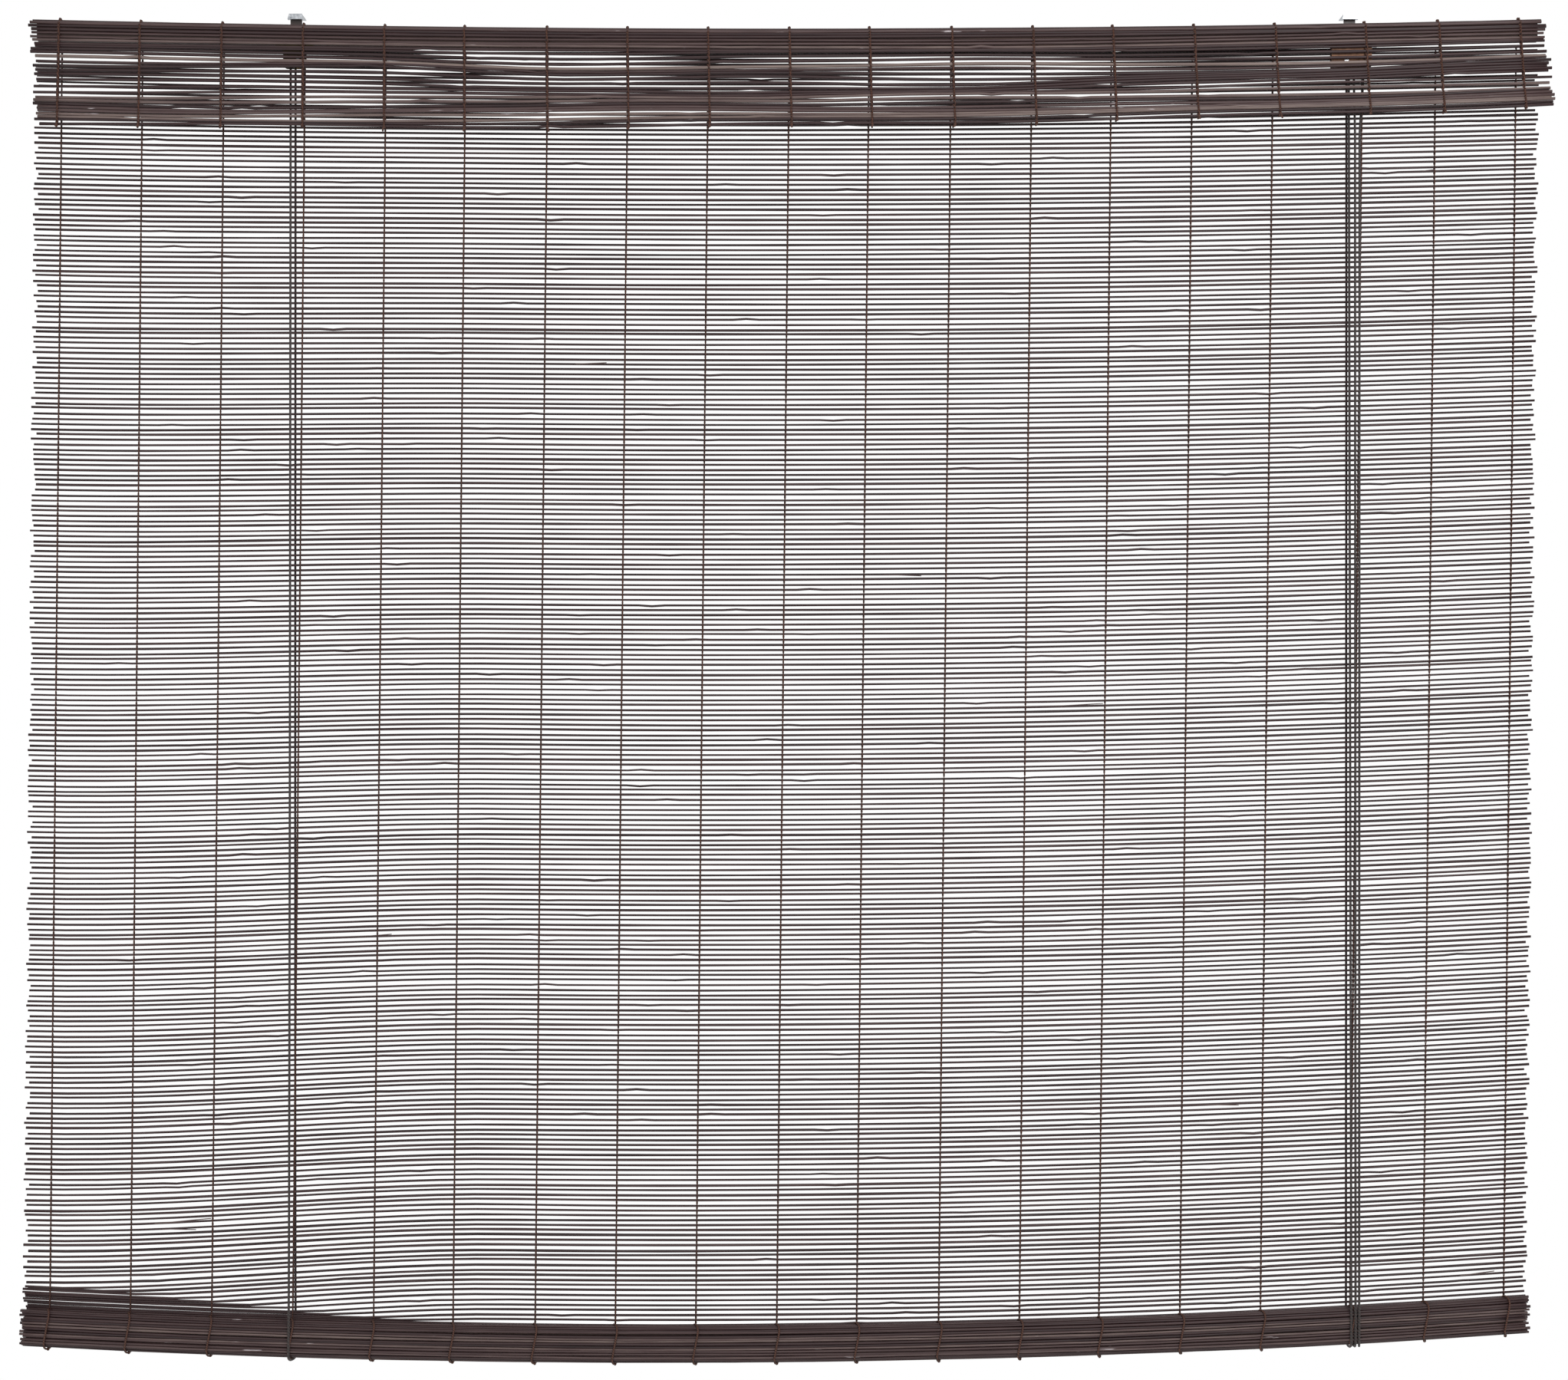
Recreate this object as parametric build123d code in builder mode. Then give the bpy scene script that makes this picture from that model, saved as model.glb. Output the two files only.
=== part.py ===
from build123d import *
from math import cos, floor, pi, sin
import os

# A bamboo roll up blind, hung from two ceiling clips. Two cords cradle the hem and roll the mat up.
# Millimetres, +Z up, the front of the blind facing -Y.
# The origin lies midway between the two ceiling screw holes, on the face that meets the ceiling.

os.makedirs("parts", exist_ok=True)

# Where the blind hangs
hanger_spacing = 1263.5
mat_offset = -42.8
sheet_y = -14.0
mat_top = -19.0
drop = 1597.0

# The woven mat
mat_width = 1800.0
stick_d = 2.2
stick_sides = 8
thread_d = 0.9
thread_gap = 0.05
sheet_pitch = 6.0
head_pitch = 4.85
warp_spacing = 96.9
warp_offset = 2.4
warp_margin = 24.0
moved_warp = 16
moved_warp_by = 10.5

# How the mat bends and leans between its head and its hem
head_sag = 11.0
hem_sag = 27.0
hem_tilt = 16.0
hem_lean = -15.0

# The flap of mat in front of the batten
valance_rows = 24
valance_width = 1808.0
valance_tilt = 23.0
valance_lean = 10.0
valance_flare = 8.0
top_rows = 3
back_rows = 5

# Head batten
batten_width = 1794.0
batten_height = 22.0
batten_depth = 13.0
first_row_drop = 1.0
seat_depth = 0.5

# Hem bundle
lath_width = 1790.0
lath_height = 34.7
lath_depth = 9.0
lath_gap = 0.1
layer_gap = 0.2
hem_stick_pitch = 4.2

# Hangers and ceiling clips
hanger_width = 14.0
hanger_t = 1.2
hanger_drop = 13.0
hanger_hook = 4.6
mat_clearance = 0.1
clip_t = 1.2
clip_width = 19.0
clip_taper = 1.8
clip_drop = 6.5
clip_reach = 10.0
clip_lip = 6.0
clip_hole_d = 4.5
hook_gap = 0.6
screw_d = 2.8
screw_head_d = 5.2
screw_length = 9.0
screw_fit = 0.05

# Pulleys
sheave_rim_r = 9.2
sheave_cord_r = 9.0
sheave_width = 4.2
sheave_bore_r = 1.55
sheave_side_gap = 0.3
sheave_edge_r = 0.3
sheave_z = -57.0
axle_r = 1.5
axle_fit = 0.02
axle_head_r = 2.4
axle_head_t = 0.4
cheek_t = 1.0
cheek_round = 5.0
cheek_bottom = -66.5
web_t = 1.2
ear_length = 9.0
single_frame_x = -631.8
single_frame_width = 27.0
single_sheave_x = -627.8
double_frame_x = 632.2
double_frame_width = 48.0
double_front_sheave_x = 625.9
double_back_sheave_x = 639.2
frame_setback = 0.0
frame_screw_head_d = 5.6
frame_screw_head_t = 1.6
frame_screw_length = 11.0

# Cords, screw eyes and knots
cord_d = 2.5
cord_groove_gap = 0.3
hem_cord_gap = 0.3
hem_cord_drop = 0.6
eye_wire_r = 0.9
eye_ring_r = 2.6
eye_shank_length = 8.0
eye_stand = 5.4
left_eye_x = -634.3
right_eye_x = 630.2
bend_ease = 0.1
knot_r = 2.8
knot_half = 2.2

# Where each cord passes the back and the front of the hem
left_cradle_xs = (-631.8, -639.3)
right_cradle_xs = (628.7, 630.7)
front_tail_xs = (636.7, 635.7)
back_tail_xs = (644.2, 640.0)

# The pull cords: straight out of the pulley, then forward past the valance, then down
tail_out_z = -74.0
tail_bend_z = -142.0
front_tail_bend_x = 635.1
back_tail_bend_x = 640.5
front_tail_bends = (200.0, 515.0)
back_tail_bends = (116.0, 305.0)
front_tail_up = 10.0
back_tail_up = 17.0
tail_stand = 1.6

# Staples that hold the mat on the back of the batten
staple_wire_r = 0.5
staple_depth = 8.0
staple_bend = 0.8
staple_every = 2
staple_beside = 8.0

# Threads of the mat
thread_bend = 15.0
outer_bend = 4.0
inner_bend = 0.6
front_end_up = 1.0
loop_slack = 0.12

# Sizes that follow from those above
stick_r = stick_d / 2
thread_r = thread_d / 2
cord_r = cord_d / 2
half_mat = mat_width / 2
thread_offset = stick_r + thread_gap + thread_r
layer = stick_r + thread_d + 2 * thread_gap
batten_top = mat_top - stick_r - layer
batten_back_y = sheet_y - stick_r - mat_clearance - hanger_t
batten_front_y = batten_back_y - batten_depth
valance_y = batten_front_y - layer
warp_count = floor((mat_width - 2 * warp_margin) / warp_spacing) + 1
first_warp = mat_offset + warp_offset - (warp_count - 1) / 2 * warp_spacing
warps = [first_warp + n * warp_spacing for n in range(warp_count)]
warps[moved_warp] += moved_warp_by
hanger_xs = [-hanger_spacing / 2, hanger_spacing / 2]

# The hem bundle: two rings of sticks round the lath, and loops of thread round them
inner_ring_r = lath_depth / 2 + lath_gap + stick_r
outer_ring_r = inner_ring_r + stick_d + layer_gap
loop_r = outer_ring_r + thread_offset
bundle_r = loop_r + thread_r
lath_straight = lath_height - lath_depth
hem_y = sheet_y - outer_ring_r
hem_bottom = mat_top - drop
hem_z = hem_bottom + bundle_r + lath_straight / 2
hem_top = hem_z + bundle_r + lath_straight / 2


def bow(x, sag, tilt, shift=0.0):
    """How far a bowed and tilted row stands above its middle at x."""
    across = (x - mat_offset - shift) / half_mat
    return sag * across * across + tilt * across / 2


def row_ends(z, sag, tilt, shift, length):
    """The left end, middle and right end of a row, as x and z."""
    middle = mat_offset + shift
    ends = [middle - length / 2, middle, middle + length / 2]
    return [(x, z + bow(x, sag, tilt, shift)) for x in ends]


def stick(y, z, sag, tilt, shift, length):
    """One split stick of the mat, with flat sides, bent along a shallow arc."""
    with BuildPart() as rod:
        with BuildLine() as axis:
            ThreePointArc(*[(x, y, height) for x, height in row_ends(z, sag, tilt, shift, length)])
        with BuildSketch(Plane(origin=axis.line @ 0, z_dir=axis.line % 0)):
            RegularPolygon(stick_r, stick_sides)
        sweep()
    return rod.part


def tube(points, bends, radius):
    """A round tube along straight runs joined by arcs, with the planes at its two ends."""
    with BuildPart() as pipe:
        with BuildLine() as route:
            if bends:
                FilletPolyline(*points, radius=bends)
            else:
                Line(*points)
        start = Plane(origin=route.line @ 0, z_dir=route.line % 0)
        finish = Plane(origin=route.line @ 1, z_dir=route.line % 1)
        with BuildSketch(start):
            Circle(radius)
        sweep()
    return pipe.part, start, finish, sum(edge.length for edge in route.edges())


def joined(pieces):
    """Separate pieces of one kind, kept as separate solids in one part."""
    with BuildPart() as group:
        add(pieces)
    return group.part


def save(part, name):
    part.label = name
    export_step(part, f"parts/{name}.step")


# Head batten: a planed wooden strip that sags a little between its hangers, drilled for its screws
head_middle = batten_top - batten_height
seats = {
    "single": head_middle + bow(single_frame_x, head_sag, 0) + seat_depth,
    "double": head_middle + bow(double_frame_x, head_sag, 0) + seat_depth,
}
frames = {
    "single": (single_frame_x, single_frame_width, 1),
    "double": (double_frame_x, double_frame_width, 2),
}
frame_front_y = batten_front_y + frame_setback


def frame_depth(layers):
    return layers * (sheave_width + 2 * sheave_side_gap) + (layers + 1) * cheek_t


def layer_y(number):
    """The middle of a pulley frame's sheave space, counted from the front."""
    space = sheave_width + 2 * sheave_side_gap
    return frame_front_y + (number + 1) * cheek_t + (number + 0.5) * space


def frame_screws(name):
    """The places of a pulley frame's two screws."""
    x, width, layers = frames[name]
    reach = width / 2 + ear_length / 2
    y = frame_front_y + frame_depth(layers) / 2
    return [(x - reach, y), (x + reach, y)]


hanger_screw_z = batten_top - hanger_drop / 2 - first_row_drop
eye_z = batten_top - first_row_drop - (back_rows - 1.5) * head_pitch
staple_z = batten_top - first_row_drop - (back_rows - 1) / 2 * head_pitch
staple_xs = [x + staple_beside for x in warps[1::staple_every]]
eye_xs = [left_eye_x, right_eye_x]

with BuildPart() as head_batten:
    with BuildSketch(Plane.XZ.offset(-batten_back_y)):
        with BuildLine():
            top = row_ends(batten_top, head_sag, 0, 0, batten_width)
            bottom = row_ends(head_middle, head_sag, 0, 0, batten_width)
            ThreePointArc(*top)
            Line(top[2], bottom[2])
            ThreePointArc(*bottom)
            Line(bottom[0], top[0])
        make_face()
    extrude(amount=batten_depth)
    for name, (x, width, layers) in frames.items():
        depth = frame_depth(layers)
        with Locations((x, frame_front_y + depth / 2, seats[name])):
            Box(
                width + 2 * ear_length + 2 * screw_fit,
                depth + 2 * screw_fit,
                batten_height / 2,
                align=(Align.CENTER, Align.CENTER, Align.MAX),
                mode=Mode.SUBTRACT,
            )
        with Locations([(sx, sy, seats[name]) for sx, sy in frame_screws(name)]):
            Cylinder(
                screw_d / 2 + screw_fit,
                frame_screw_length + screw_fit,
                align=(Align.CENTER, Align.CENTER, Align.MIN),
                mode=Mode.SUBTRACT,
            )
    for x in hanger_xs:
        z = hanger_screw_z + bow(x, head_sag, 0)
        with BuildSketch(Plane.XZ.offset(-batten_back_y)):
            with Locations((x, z)):
                Circle(screw_d / 2 + screw_fit)
        extrude(amount=screw_length, mode=Mode.SUBTRACT)
    for x in eye_xs:
        with BuildSketch(Plane.XZ.offset(-batten_back_y)):
            with Locations((x, eye_z + bow(x, head_sag, 0))):
                Circle(eye_wire_r + screw_fit)
        extrude(amount=eye_shank_length, mode=Mode.SUBTRACT)
    with BuildSketch(Plane.XZ.offset(-batten_back_y)):
        for x in staple_xs:
            z = staple_z + bow(x, head_sag, 0)
            with Locations((x, z - head_pitch / 2), (x, z + head_pitch / 2)):
                Circle(staple_wire_r + screw_fit)
    extrude(amount=staple_depth, mode=Mode.SUBTRACT)
save(head_batten.part, "head_batten")


# Mat over the back and the top of the batten
wrap = []
for number in range(back_rows):
    z = batten_top - first_row_drop - number * head_pitch
    wrap.append(stick(sheet_y, z, head_sag, 0, 0, mat_width))
for number in range(top_rows):
    y = sheet_y + (valance_y - sheet_y) * (number + 1) / (top_rows + 1)
    wrap.append(stick(y, batten_top + layer, head_sag, 0, 0, mat_width))
save(joined(wrap), "head_wrap_sticks")


# Valance: the end of the mat, left hanging in front of the batten
def valance_place(number):
    """The depth, height, tilt and shift of one row of the valance."""
    down = number / (valance_rows - 1)
    z = batten_top - first_row_drop - number * head_pitch
    last = batten_top - first_row_drop - (valance_rows - 1) * head_pitch
    flare = valance_flare * max(0.0, head_middle - z) / (head_middle - last)
    return valance_y - flare, z, valance_tilt * down, valance_lean * down


valance = []
for number in range(valance_rows):
    y, z, tilt, shift = valance_place(number)
    valance.append(stick(y, z, head_sag, tilt, shift, valance_width))
save(joined(valance), "valance_sticks")


# Threads of the valance and of the mat over the batten, one outside and one inside the sticks
wrap_end = batten_top - first_row_drop - (back_rows - 0.5) * head_pitch
valance_threads = []
knee_number = (batten_height - first_row_drop) / head_pitch
for x in warps:
    rise = bow(x, head_sag, 0)
    hang = []
    for number in (valance_rows - 0.5, knee_number):
        y, z, tilt, shift = valance_place(number)
        hang.append((x + shift, y, z + bow(x + shift, head_sag, tilt, shift)))
    for side, bend in ((1, outer_bend), (-1, inner_bend)):
        off = side * thread_offset
        crown = batten_top + rise + layer + off
        points = [(px, y - off, z) for px, y, z in hang] + [
            (x, valance_y - off, crown),
            (x, sheet_y + off, crown),
            (x, sheet_y + off, wrap_end + rise),
        ]
        valance_threads.append(tube(points, [thread_bend, bend, bend], thread_r)[0])
save(joined(valance_threads), "valance_threads")


# The free sheet: bowed a little more from row to row, so that its last row follows the hem
sheet_top = batten_top - first_row_drop - back_rows * head_pitch
sheet_foot = hem_top + stick_r + layer_gap
sheet_count = round((sheet_top - sheet_foot) / sheet_pitch) + 1


def sheet_place(down):
    """The height, sag, tilt and shift of the sheet's row at a share of the way down."""
    z = sheet_top + (sheet_foot - sheet_top) * down
    return z, head_sag + (hem_sag - head_sag) * down, hem_tilt * down, hem_lean * down


sheet = []
for number in range(sheet_count):
    sheet.append(stick(sheet_y, *sheet_place(number / (sheet_count - 1)), mat_width))
save(joined(sheet), "sheet_sticks")

# Warp threads of the free sheet, one in front of and one behind the sticks
sheet_threads = []
for x in warps:
    low_x = x + hem_lean
    low = sheet_foot + bow(low_x, hem_sag, hem_tilt, hem_lean) - front_end_up
    high = wrap_end + bow(x, head_sag, 0) - thread_gap
    for off in (thread_offset, -thread_offset):
        points = [(x, sheet_y + off, high), (low_x, sheet_y + off, low)]
        sheet_threads.append(tube(points, None, thread_r)[0])
save(joined(sheet_threads), "sheet_threads")


# Bottom lath, with round edges, along the arc that the hem hangs in
with BuildPart() as bottom_lath:
    with BuildLine() as lath_axis:
        ends = row_ends(hem_z, hem_sag, hem_tilt, hem_lean, lath_width)
        ThreePointArc(*[(x, hem_y, z) for x, z in ends])
    with BuildSketch(Plane(origin=lath_axis.line @ 0, x_dir=(0, 1, 0), z_dir=lath_axis.line % 0)):
        SlotOverall(lath_height, lath_depth, rotation=90)
    sweep()
save(bottom_lath.part, "bottom_lath")


# Hem sticks: two rings wound round the lath
def ring_places(radius):
    """The places of the sticks round the lath at one distance from its middle line, as y and z."""
    arc = pi * radius
    around = 2 * (lath_straight + arc)
    count = floor(around / hem_stick_pitch)
    places = []
    for number in range(count):
        along = around * (number + 0.5) / count
        half, along = divmod(along, lath_straight + arc)
        if along < lath_straight:
            y, z = radius, lath_straight / 2 - along
        else:
            turn = (along - lath_straight) / radius
            y, z = radius * cos(turn), -lath_straight / 2 - radius * sin(turn)
        side = -1 if half else 1
        places.append((side * y, side * z))
    return places


hem = []
for radius in (inner_ring_r, outer_ring_r):
    for y, z in ring_places(radius):
        hem.append(stick(hem_y + y, hem_z + z, hem_sag, hem_tilt, hem_lean, mat_width))
save(joined(hem), "hem_sticks")

# Threads round the hem bundle, as closed loops
hem_threads = []
for x in warps:
    x = x + hem_lean
    z = hem_z + bow(x, hem_sag, hem_tilt, hem_lean)
    with BuildPart() as loop:
        with BuildLine(Plane.YZ.offset(x)) as around:
            reach = loop_r + loop_slack / 2
            height = lath_straight / 2 + reach
            corners = [
                (hem_y - reach, z - height),
                (hem_y + reach, z - height),
                (hem_y + reach, z + height),
                (hem_y - reach, z + height),
            ]
            FilletPolyline(*corners, radius=loop_r - loop_slack / 2, close=True)
        with BuildSketch(Plane(origin=around.line @ 0, z_dir=around.line % 0)):
            Circle(thread_r)
        sweep()
    hem_threads.append(loop.part)
save(joined(hem_threads), "hem_threads")


# Ceiling clips: bent zinc strips, screwed up into the ceiling, with a lip in front that holds the hanger
clip_front_y = batten_back_y - hook_gap - clip_lip
for side, x in zip(("left", "right"), hanger_xs):
    with BuildPart() as ceiling_clip:
        with BuildSketch(Plane.YZ.offset(x)):
            with Locations((clip_front_y, -clip_t)):
                Rectangle(clip_reach - clip_front_y, clip_t, align=Align.MIN)
            with Locations((clip_front_y, -clip_drop)):
                Rectangle(clip_t, clip_drop, align=Align.MIN)
                Rectangle(clip_lip, clip_t, align=Align.MIN)
        extrude(amount=clip_width / 2, both=True)
        with BuildSketch(Plane.XZ.offset(-clip_reach)):
            for way in (-1, 1):
                edge = x + way * clip_width / 2
                with BuildLine():
                    Polyline((edge, -clip_drop), (edge, 0), (edge - way * clip_taper, 0), close=True)
                make_face()
        extrude(amount=clip_reach - clip_front_y, mode=Mode.SUBTRACT)
        with Locations((x, 0, 0)):
            Hole(clip_hole_d / 2, depth=clip_t)
    save(ceiling_clip.part, f"{side}_ceiling_clip")


# Hangers: steel straps on the back of the batten, whose hooked tops rest on the clips' lips
hook_z = -clip_drop + clip_t
for side, x in zip(("left", "right"), hanger_xs):
    lift = bow(x, head_sag, 0)
    strap_foot = batten_top + lift - hanger_drop
    with BuildPart() as hanger:
        with BuildSketch(Plane.YZ.offset(x)):
            with Locations((batten_back_y, strap_foot)):
                Rectangle(hanger_t, hook_z + hanger_t - strap_foot, align=Align.MIN)
            with Locations((batten_back_y - hanger_hook, hook_z)):
                Rectangle(hanger_hook + hanger_t, hanger_t, align=Align.MIN)
        extrude(amount=hanger_width / 2, both=True)
        with Locations(Plane(origin=(x, batten_back_y + hanger_t, hanger_screw_z + lift), z_dir=(0, 1, 0))):
            CounterSinkHole(
                screw_d / 2 + screw_fit,
                screw_head_d / 2 + screw_fit,
                depth=hanger_t,
                counter_sink_angle=90,
            )
    save(hanger.part, f"{side}_hanger")

screws = []
for x in hanger_xs:
    face = Plane(
        origin=(x, batten_back_y + hanger_t, hanger_screw_z + bow(x, head_sag, 0)),
        z_dir=(0, -1, 0),
    )
    with BuildPart(face) as screw:
        head_t = (screw_head_d - screw_d) / 2
        Cone(screw_head_d / 2, screw_d / 2, head_t, align=(Align.CENTER, Align.CENTER, Align.MIN))
        Cylinder(screw_d / 2, screw_length, align=(Align.CENTER, Align.CENTER, Align.MIN))
    screws.append(screw.part)
save(joined(screws), "hanger_screws")


# Pulley frames: a web under the batten, with ears for two screws, and cheeks that carry the axles
axles = {
    "single": [(single_sheave_x, 0)],
    "double": [(double_front_sheave_x, 0), (double_back_sheave_x, 1)],
}
for name, (x, width, layers) in frames.items():
    depth = frame_depth(layers)
    seat = seats[name]
    with BuildPart() as frame:
        with Locations((x, frame_front_y + depth / 2, seat)):
            Box(
                width + 2 * ear_length,
                depth,
                web_t,
                align=(Align.CENTER, Align.CENTER, Align.MAX),
            )
        for number in range(layers + 1):
            y = frame_front_y + number * (depth - cheek_t) / layers
            with BuildSketch(Plane.XZ.offset(-y)) as cheek:
                with Locations((x, (seat - web_t + cheek_bottom) / 2)):
                    Rectangle(width, seat - web_t - cheek_bottom)
                fillet(cheek.vertices().group_by(Axis.Y)[0], radius=cheek_round)
                holes = [(ax, sheave_z) for ax, space in axles[name] if space in (number, number - 1)]
                with Locations(*holes):
                    Circle(axle_r + axle_fit, mode=Mode.SUBTRACT)
            extrude(amount=-cheek_t)
        with Locations([(sx, sy, seat) for sx, sy in frame_screws(name)]):
            Hole(screw_d / 2 + screw_fit, depth=web_t)
    save(frame.part, f"{name}_pulley_frame")

    pins = []
    for ax, space in axles[name]:
        inside = sheave_width + 2 * sheave_side_gap
        front = layer_y(space) - inside / 2 - cheek_t
        with BuildPart(Plane(origin=(ax, front - axle_head_t, sheave_z), z_dir=(0, 1, 0))) as pin:
            shaft = inside + 2 * cheek_t + 2 * axle_head_t
            Cylinder(axle_head_r, axle_head_t, align=(Align.CENTER, Align.CENTER, Align.MIN))
            Cylinder(axle_r, shaft, align=(Align.CENTER, Align.CENTER, Align.MIN))
            with Locations((0, 0, shaft)):
                Cylinder(axle_head_r, axle_head_t, align=(Align.CENTER, Align.CENTER, Align.MAX))
        pins.append(pin.part)
    save(joined(pins), f"{name}_pulley_axle" if len(pins) == 1 else f"{name}_pulley_axles")

    fixings = []
    for sx, sy in frame_screws(name):
        with BuildPart(Plane(origin=(sx, sy, seat - web_t), z_dir=(0, 0, 1))) as fixing:
            shank = frame_screw_length + web_t
            Cylinder(screw_d / 2, shank, align=(Align.CENTER, Align.CENTER, Align.MIN))
            head_r = frame_screw_head_d / 2
            Cylinder(head_r, frame_screw_head_t, align=(Align.CENTER, Align.CENTER, Align.MAX))
        fixings.append(fixing.part)
    save(joined(fixings), f"{name}_pulley_screws")


# Sheaves: grooved wheels that turn on the axles
def sheave(x, space):
    with BuildPart() as wheel:
        Cylinder(sheave_rim_r, sheave_width)
        fillet(wheel.edges(), radius=sheave_edge_r)
        with BuildSketch(Plane.XZ):
            with Locations((sheave_cord_r, 0)):
                Circle(cord_r + cord_groove_gap)
        revolve(axis=Axis.Z, mode=Mode.SUBTRACT)
        Cylinder(sheave_bore_r, sheave_width, mode=Mode.SUBTRACT)
    place = Plane(origin=(x, layer_y(space), sheave_z), z_dir=(0, 1, 0))
    return wheel.part.moved(place.location)


save(sheave(single_sheave_x, 0), "single_pulley_sheave")
save(sheave(double_front_sheave_x, 0), "double_pulley_front_sheave")
save(sheave(double_back_sheave_x, 1), "double_pulley_back_sheave")


# Staples over one row of the mat, driven into the back of the batten
staples = []
for x in staple_xs:
    z = staple_z + bow(x, head_sag, 0)
    crown_y = sheet_y + stick_r + thread_gap + staple_wire_r
    tip_y = batten_back_y - staple_depth + 2 * screw_fit
    low, high = z - head_pitch / 2, z + head_pitch / 2
    points = [(x, tip_y, low), (x, crown_y, low), (x, crown_y, high), (x, tip_y, high)]
    staples.append(tube(points, [staple_bend, staple_bend], staple_wire_r)[0])
save(joined(staples), "mat_staples")


# Screw eyes behind the batten, where the two lift cords start
eye_y = sheet_y + eye_stand + eye_ring_r
for side, x in zip(("left", "right"), eye_xs):
    z = eye_z + bow(x, head_sag, 0)
    tip_y = batten_back_y - eye_shank_length + screw_fit
    with BuildPart() as screw_eye:
        with BuildSketch(Plane(origin=(x, tip_y, z), z_dir=(0, 1, 0))):
            Circle(eye_wire_r)
        extrude(amount=eye_y - eye_ring_r - tip_y)
        with Locations((x, eye_y, z)):
            Torus(eye_ring_r, eye_wire_r)
    save(screw_eye.part, f"{side}_screw_eye")


# Cords. Each lift cord starts above its screw eye, cradles the hem and goes to the double pulley.
# The pull cords go on from the tops of the double pulley's sheaves and are tucked under the hem.
hem_front_y = hem_y - bundle_r - hem_cord_gap - cord_r
hem_back_y = hem_y + bundle_r + hem_cord_gap + cord_r
cradle_r = bundle_r + hem_cord_gap + cord_r - bend_ease
wrap_r = sheave_cord_r - bend_ease
cord_top = sheave_z + sheave_cord_r
front_y = layer_y(0)
back_y = layer_y(1)


def under_hem(x):
    """The height of a cord's middle line where it passes under the hem."""
    return hem_bottom + bow(x, hem_sag, hem_tilt, hem_lean) - hem_cord_drop - cord_r


def eye_top(x):
    return eye_z + bow(x, head_sag, 0) + eye_wire_r + hem_cord_gap


def lift_route(eye_x, cradle_xs, sheave_x, y, end_x):
    """From a screw eye down the back, under the hem, up the front and over a sheave to end_x."""
    back_x, front_x = cradle_xs
    low = under_hem((back_x + front_x) / 2)
    points = [
        (eye_x, eye_y, eye_top(eye_x)),
        (back_x, hem_back_y, low),
        (front_x, hem_front_y, low),
        (sheave_x - sheave_cord_r, y, cord_top),
        (end_x, y, cord_top),
    ]
    return points, [cradle_r, cradle_r, wrap_r]


def pull_route(sheave_x, y, bend_x, tail_xs, up, bends):
    """From the top of a sheave down the front and under the hem, to a knot behind it."""
    back_x, front_x = tail_xs
    low = under_hem((back_x + front_x) / 2)
    end_z = hem_z + bow(back_x, hem_sag, hem_tilt, hem_lean) + up
    points = [
        (sheave_x, y, cord_top),
        (sheave_x + sheave_cord_r, y, cord_top),
        (sheave_x + sheave_cord_r, y, tail_out_z),
        (bend_x, hem_front_y, tail_bend_z),
        (front_x, hem_front_y, low),
        (back_x, hem_back_y, low),
        (back_x, hem_back_y + tail_stand, end_z),
    ]
    return points, [wrap_r, *bends, cradle_r, cradle_r]


front_x = double_front_sheave_x
back_x = double_back_sheave_x
routes = {
    "left_lift_cord": lift_route(left_eye_x, left_cradle_xs, single_sheave_x, front_y, front_x),
    "right_lift_cord": lift_route(right_eye_x, right_cradle_xs, back_x, back_y, back_x),
    "front_pull_cord": pull_route(
        front_x, front_y, front_tail_bend_x, front_tail_xs, front_tail_up, front_tail_bends
    ),
    "back_pull_cord": pull_route(
        back_x, back_y, back_tail_bend_x, back_tail_xs, back_tail_up, back_tail_bends
    ),
}


def knot(plane):
    """A knot drawn tight at the end of a cord, flat where the cord enters it."""
    with BuildPart(plane) as ball:
        with Locations((0, 0, knot_half)):
            Sphere(knot_r)
        for height, away in ((0, -1), (2 * knot_half, 1)):
            cut = Plane(origin=plane.from_local_coords((0, 0, height)), z_dir=plane.z_dir * away)
            split(bisect_by=cut, keep=Keep.BOTTOM)
    return ball.part


for name, (points, bends) in routes.items():
    cord, start, finish, length = tube(points, bends, cord_r)
    save(cord, name)
    section = pi * cord_r**2 * length
    print(name, "length", round(length, 1), "bends", bends, "volume share", round(cord.volume / section, 4))
    print("   route", [tuple(round(v, 1) for v in point) for point in points])
    if name.endswith("lift_cord"):
        save(knot(Plane(origin=start.origin, z_dir=-start.z_dir)), name.replace("lift_cord", "anchor_knot"))
    else:
        save(knot(finish), name.replace("cord", "knot"))

print("sheet rows", sheet_count, "warps", warp_count, "hem sticks", len(hem))
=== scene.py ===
import math
import random

import bmesh
import bpy
from mathutils import Matrix, noise


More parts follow.
